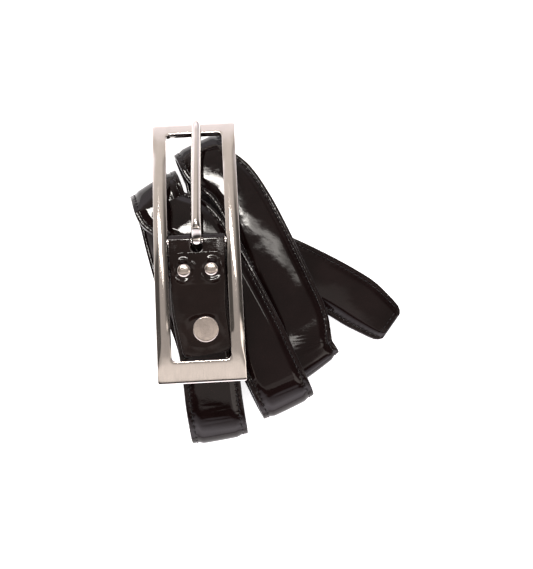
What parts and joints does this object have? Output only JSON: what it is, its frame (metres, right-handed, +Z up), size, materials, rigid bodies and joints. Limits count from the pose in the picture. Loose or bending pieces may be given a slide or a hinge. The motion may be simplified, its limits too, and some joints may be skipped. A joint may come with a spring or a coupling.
{
  "type": "leather belt",
  "caption": "Coiled black patent leather belt with stitched edges, a riveted chape and a long arched rectangular buckle with a pivoting prong.",
  "frame": {"origin": "on the plane the belt rests on, below the centre of its outline", "axes": "+Z up, the buckle's long side close to Y with its prong tip towards +Y"},
  "size_m": [0.1297, 0.1511, 0.0351],
  "materials": {
    "patent_leather": "patent, high gloss",
    "filler": "matte",
    "lining": "satin",
    "thread": "waxed",
    "polished_metal": "polished nickel plate"
  },
  "bodies": {
    "belt": {"strap_cover": "patent_leather", "strap_filler": "filler", "strap_lining": "lining", "stitch_left": "thread", "stitch_right": "thread", "stitch_tip": "thread", "chape": "patent_leather", "rivet_head_left": "polished_metal", "rivet_head_right": "polished_metal", "rivet_base_left": "polished_metal", "rivet_base_right": "polished_metal", "disc_head": "polished_metal", "disc_base": "polished_metal"},
    "buckle": {"buckle_frame": "polished_metal", "centre_bar": "polished_metal"},
    "prong": {"prong": "polished_metal"}
  },
  "joints": [
    {"name": "buckle_hinge", "type": "hinge", "parent": "belt", "child": "buckle", "pos_m": [-0.0298, 0.0131, 0.0296], "axis": [-0.9984, -0.0558, 0], "range_deg": [0, 2]},
    {"name": "prong_hinge", "type": "hinge", "parent": "buckle", "child": "prong", "pos_m": [-0.0298, 0.0131, 0.0296], "axis": [0.9984, 0.0558, 0], "range_deg": [0, 100]}
  ]
}
